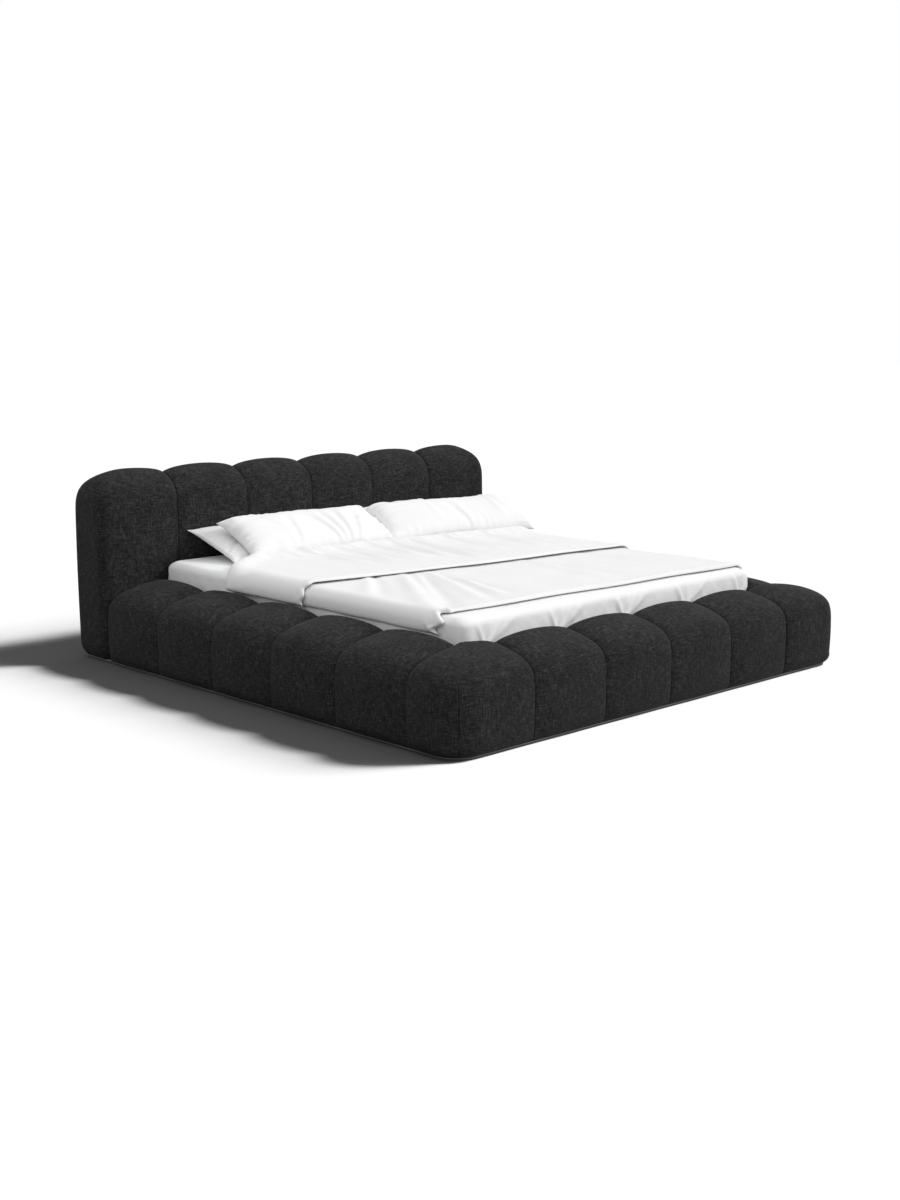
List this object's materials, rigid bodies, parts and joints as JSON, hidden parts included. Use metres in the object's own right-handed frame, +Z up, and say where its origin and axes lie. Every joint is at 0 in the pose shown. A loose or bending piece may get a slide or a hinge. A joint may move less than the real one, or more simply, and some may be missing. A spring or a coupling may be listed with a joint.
{
  "type": "upholstered storage bed",
  "caption": "Low channel-padded upholstered bed with a headboard, side rails and footboard round a made-up mattress on a slatted platform that lifts on gas springs over a storage space.",
  "frame": {"origin": "on the floor under the middle of the bed's outline", "axes": "+Z up, +Y towards the headboard, +X to the side on the right of a person who stands at the foot end and faces the headboard"},
  "size_m": [2.456, 2.559, 0.87],
  "materials": {
    "upholstery": "charcoal heathered linen-look weave",
    "board": "raw birch plywood",
    "floor_panel": "dark grey foil-faced board",
    "tube_paint": "matt black powder coat",
    "bracket_paint": "satin black powder coat",
    "slat_wood": "clear lacquered bent beech",
    "holder_plastic": "black moulded plastic",
    "webbing": "black woven webbing",
    "ticking": "white knitted mattress cover",
    "bed_linen": "white washed cotton",
    "cylinder_paint": "gloss black paint",
    "rod_chrome": "hard chrome, polished",
    "bolt_zinc": "bright zinc plate"
  },
  "bodies": {
    "base": {"floor_centre_rail": "board", "footboard_frame": "board", "footboard_inner_board": "board", "footboard_lobe_1": "upholstery", "footboard_lobe_2": "upholstery", "footboard_lobe_3": "upholstery", "footboard_lobe_4": "upholstery", "footboard_lobe_5": "upholstery", "footboard_lobe_6": "upholstery", "frame_bolts": "bolt_zinc", "headboard_frame": "board", "headboard_front_board": "board", "headboard_lobe_1": "upholstery", "headboard_lobe_2": "upholstery", "headboard_lobe_3": "upholstery", "headboard_lobe_4": "upholstery", "headboard_lobe_5": "upholstery", "headboard_lobe_6": "upholstery", "left_base_bracket": "bracket_paint", "left_rail_frame": "board", "left_rail_inner_board": "board", "left_rail_lobe_1": "upholstery", "left_rail_lobe_2": "upholstery", "left_rail_lobe_3": "upholstery", "left_rail_lobe_4": "upholstery", "left_rail_lobe_5": "upholstery", "right_base_bracket": "bracket_paint", "right_rail_frame": "board", "right_rail_inner_board": "board", "right_rail_lobe_1": "upholstery", "right_rail_lobe_2": "upholstery", "right_rail_lobe_3": "upholstery", "right_rail_lobe_4": "upholstery", "right_rail_lobe_5": "upholstery", "storage_floor_left": "floor_panel", "storage_floor_right": "floor_panel"},
    "left_link": {"left_lift_link": "bracket_paint"},
    "right_link": {"right_lift_link": "bracket_paint"},
    "platform": {"back_left_pillow": "bed_linen", "back_right_pillow": "bed_linen", "duvet": "bed_linen", "fitted_sheet": "bed_linen", "front_left_pillow": "bed_linen", "front_right_pillow": "bed_linen", "left_top_bracket": "bracket_paint", "lift_frame_centre_tube": "tube_paint", "lift_frame_foot_tube": "tube_paint", "lift_frame_head_tube": "tube_paint", "lift_frame_left_tube": "tube_paint", "lift_frame_right_tube": "tube_paint", "lift_strap": "webbing", "mattress": "ticking", "mattress_stops": "tube_paint", "right_top_bracket": "bracket_paint", "slat_holders": "holder_plastic", "slats": "slat_wood"},
    "left_gas_cylinder": {"left_gas_cylinder": "cylinder_paint"},
    "left_gas_rod": {"left_gas_rod": "rod_chrome"},
    "right_gas_cylinder": {"right_gas_cylinder": "cylinder_paint"},
    "right_gas_rod": {"right_gas_rod": "rod_chrome"}
  },
  "joints": [
    {"name": "left_link_pivot", "type": "hinge", "parent": "base", "child": "left_link", "pos_m": [-0.875, 0.55521, 0.05], "axis": [1, 0, 0], "range_deg": [0, 78]},
    {"name": "platform_lift", "type": "hinge", "parent": "left_link", "child": "platform", "pos_m": [-0.875, 0.8105, 0.165], "axis": [-1, 0, 0], "range_deg": [0, 117]},
    {"name": "right_link_pivot", "type": "hinge", "parent": "base", "child": "right_link", "pos_m": [0.875, 0.55521, 0.05], "axis": [1, 0, 0], "range_deg": [0, 78]},
    {"name": "left_cylinder_pivot", "type": "hinge", "parent": "base", "child": "left_gas_cylinder", "pos_m": [-0.892, 0.6994, 0.09135], "axis": [1, 0, 0], "range_deg": [0, 39]},
    {"name": "left_rod_pivot", "type": "hinge", "parent": "left_link", "child": "left_gas_rod", "pos_m": [-0.892, 0.52916, 0.19772], "axis": [1, 0, 0], "range_deg": [-39, 0]},
    {"name": "right_cylinder_pivot", "type": "hinge", "parent": "base", "child": "right_gas_cylinder", "pos_m": [0.892, 0.6994, 0.09135], "axis": [1, 0, 0], "range_deg": [0, 39]},
    {"name": "right_rod_pivot", "type": "hinge", "parent": "right_link", "child": "right_gas_rod", "pos_m": [0.892, 0.52916, 0.19772], "axis": [1, 0, 0], "range_deg": [-39, 0]}
  ],
  "couplings": [
    {"joint": "left_link_pivot", "follows": "platform_lift", "ratio": 0.66667},
    {"joint": "right_link_pivot", "follows": "platform_lift", "ratio": 0.66667},
    {"joint": "left_cylinder_pivot", "follows": "platform_lift", "ratio": 0.33333},
    {"joint": "left_rod_pivot", "follows": "platform_lift", "ratio": -0.33333},
    {"joint": "right_cylinder_pivot", "follows": "platform_lift", "ratio": 0.33333},
    {"joint": "right_rod_pivot", "follows": "platform_lift", "ratio": -0.33333}
  ]
}
